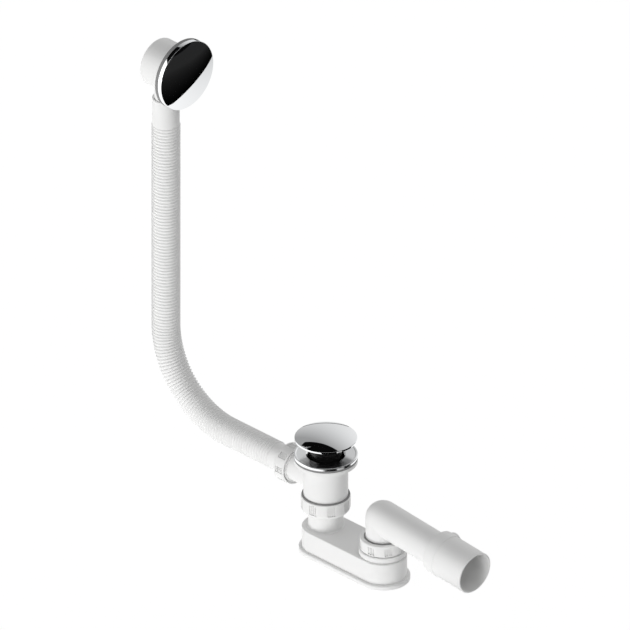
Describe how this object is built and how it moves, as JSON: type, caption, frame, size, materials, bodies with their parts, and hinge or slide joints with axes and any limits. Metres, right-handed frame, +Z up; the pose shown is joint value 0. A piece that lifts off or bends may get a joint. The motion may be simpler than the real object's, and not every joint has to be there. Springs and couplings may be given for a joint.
{
  "type": "bath waste and overflow",
  "caption": "Bath waste set: chrome push plug in a dish, flat trap with sloping outlet pipe, and a corrugated hose rising to a round chrome overflow head.",
  "frame": {"origin": "on the waste's axis, in the plane where the dish's rim sits on the bath", "axes": "+Z up along the plug's travel, +X along the trap towards the outlet, the hose riser on the -X side"},
  "size_m": [0.5124, 0.0836, 0.5683],
  "materials": {
    "white_plastic": "satin moulded",
    "chrome": "polished plate",
    "black_plastic": "glossy moulded",
    "grey_plastic": "moulded",
    "rubber": "matt",
    "silicone": "matt",
    "steel": "plain",
    "brass": "turned"
  },
  "bodies": {
    "waste_set": {"overflow_body": "white_plastic", "overflow_hose": "white_plastic", "hose_nut": "white_plastic", "waste_body": "white_plastic", "body_nut": "white_plastic", "trap_body": "white_plastic", "trap_base": "white_plastic", "outlet_nut": "white_plastic", "outlet_elbow": "white_plastic", "outlet_adapter": "white_plastic", "overflow_cover": "chrome", "overflow_ring": "chrome", "waste_flange": "chrome", "click_cartridge": "grey_plastic", "cartridge_lid": "grey_plastic", "overflow_gasket": "rubber", "neck_seal": "rubber", "hose_seal": "rubber", "flange_seal": "rubber", "bath_gasket": "rubber", "body_nut_seal": "rubber", "mouth_ring": "rubber", "outlet_seal": "rubber", "adapter_seal": "rubber", "overflow_screw": "steel", "clamp_screw": "steel", "plug_spring": "steel", "overflow_insert": "brass", "screw_insert": "brass"},
    "plug": {"plug_cap": "chrome", "plug_seal": "silicone", "plug_sleeve": "black_plastic", "plug_stem": "grey_plastic", "cap_screw": "steel"}
  },
  "joints": [
    {"name": "plug_slide", "type": "slide", "parent": "waste_set", "child": "plug", "axis": [0, 0, 1], "range_m": [-0.017, 0], "stiffness_N_per_m": 300, "springref_m": 0.02, "deforming": ["plug_spring"]}
  ]
}
